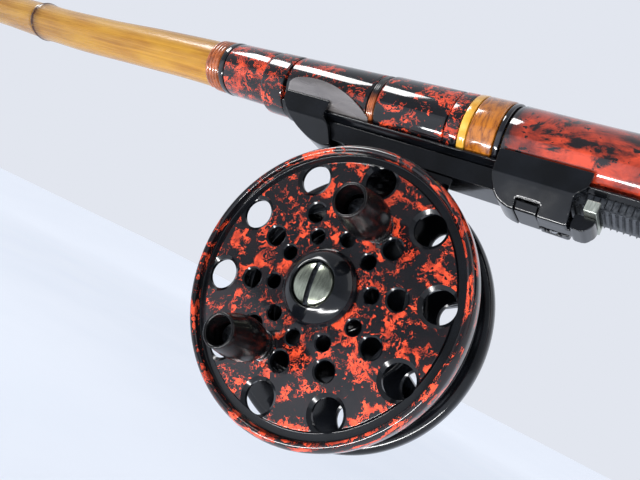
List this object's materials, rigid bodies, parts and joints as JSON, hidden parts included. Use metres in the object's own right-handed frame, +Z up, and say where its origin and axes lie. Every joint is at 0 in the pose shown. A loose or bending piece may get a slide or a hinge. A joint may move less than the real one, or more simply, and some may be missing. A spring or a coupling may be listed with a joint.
{
  "type": "fishing rod and reel",
  "caption": "Bamboo raft rod with a marbled lacquer grip, a hooded reel seat and a pierced centre-pin reel hanging below it.",
  "frame": {"origin": "on the rod's axis, straight above the middle of the reel's spool, where the hand closes round the grip", "axes": "+X along the rod to the butt, +Y from the reel's face to its back, +Z up from the reel to the rod"},
  "size_m": [1.3405, 0.0515, 0.1171],
  "materials": {
    "bamboo": "heat-tempered bamboo under clear varnish",
    "marbled_lacquer": "black lacquer marbled with vermilion, polished",
    "marbled_enamel": "black enamel marbled with vermilion on metal, polished",
    "red_lacquer": "vermilion lacquer clouded with black, polished",
    "black_lacquer": "gloss black lacquer",
    "yellow_lacquer": "gloss amber-yellow lacquer",
    "copper_thread": "whipping thread under clear lacquer",
    "black_enamel": "gloss black enamel",
    "black_knob": "turned gloss black knob",
    "steel": "turned steel",
    "chrome": "polished chrome",
    "brass": "turned brass",
    "guide_frame": "dark polished wire frame",
    "guide_ring": "polished hard ring"
  },
  "bodies": {
    "rod": {"butt_blank": "bamboo", "front_wrap": "copper_thread", "front_ring": "black_lacquer", "grip_section_1": "marbled_lacquer", "seat_binding": "marbled_lacquer", "grip_section_3": "marbled_lacquer", "copper_band": "copper_thread", "grip_section_4": "marbled_lacquer", "middle_ring": "black_lacquer", "yellow_band": "yellow_lacquer", "rear_wrap": "copper_thread", "rear_ring": "black_lacquer", "rear_grip": "red_lacquer", "butt_cap": "black_lacquer", "ferrule_socket": "black_lacquer", "guide_frame_1": "guide_frame", "guide_ring_1": "guide_ring", "seat_plate": "black_enamel", "seat_saddle": "black_enamel", "fixed_hood": "black_enamel", "reel_foot": "black_enamel", "reel_frame": "black_enamel", "foot_screw_1": "steel", "foot_screw_2": "steel", "spindle": "steel", "front_bearing": "chrome", "rear_bearing": "chrome", "bearing_spacer": "steel"},
    "tip_section": {"ferrule_plug": "brass", "tip_blank": "bamboo", "guide_frame_2": "guide_frame", "guide_ring_2": "guide_ring", "guide_frame_3": "guide_frame", "guide_ring_3": "guide_ring", "guide_frame_4": "guide_frame", "guide_ring_4": "guide_ring", "guide_frame_5": "guide_frame", "guide_ring_5": "guide_ring", "guide_frame_6": "guide_frame", "guide_ring_6": "guide_ring", "tip_top_frame": "guide_frame", "tip_top_ring": "guide_ring"},
    "hood": {"sliding_hood": "black_enamel", "lever_pin": "steel", "lever_spring": "steel"},
    "lock": {"lock_lever": "black_enamel", "lock_pawl": "steel"},
    "spool": {"spool_face": "marbled_enamel", "spool_drum": "black_enamel", "boss_cap": "black_enamel", "click_gear": "brass", "knob_post_a": "steel", "knob_post_b": "steel", "knob_screw_a": "steel", "knob_screw_b": "steel"},
    "knob_a": {"knob_a": "black_knob"},
    "knob_b": {"knob_b": "black_knob"},
    "tension_screw": {"tension_screw": "steel"},
    "click": {"click_button": "chrome", "click_pawl": "brass"}
  },
  "joints": [
    {"name": "spool_spin", "type": "hinge", "parent": "rod", "child": "spool", "pos_m": [0, 0, -0.0605], "axis": [0, 1, 0], "continuous": true},
    {"name": "knob_a_spin", "type": "hinge", "parent": "spool", "child": "knob_a", "pos_m": [0.00858, 0, -0.03873], "axis": [0, 1, 0], "continuous": true},
    {"name": "knob_b_spin", "type": "hinge", "parent": "spool", "child": "knob_b", "pos_m": [-0.00858, 0, -0.08227], "axis": [0, 1, 0], "continuous": true},
    {"name": "tension_turn", "type": "hinge", "parent": "rod", "child": "tension_screw", "pos_m": [0, 0, -0.0605], "axis": [0, 1, 0], "range_deg": [-180, 180]},
    {"name": "hood_slide", "type": "slide", "parent": "rod", "child": "hood", "axis": [1, 0, 0], "range_m": [0, 0.022]},
    {"name": "lever_tilt", "type": "hinge", "parent": "hood", "child": "lock", "pos_m": [0.0482, 0, -0.0183], "axis": [0, 1, 0], "range_deg": [0, 7], "stiffness_Nm_per_rad": 0.02, "springref_deg": -11.46},
    {"name": "tip_pull", "type": "slide", "parent": "rod", "child": "tip_section", "axis": [-1, 0, 0], "range_m": [0, 0.04]},
    {"name": "click_slide", "type": "slide", "parent": "rod", "child": "click", "axis": [0, 0, 1], "range_m": [0, 0.0026]}
  ]
}
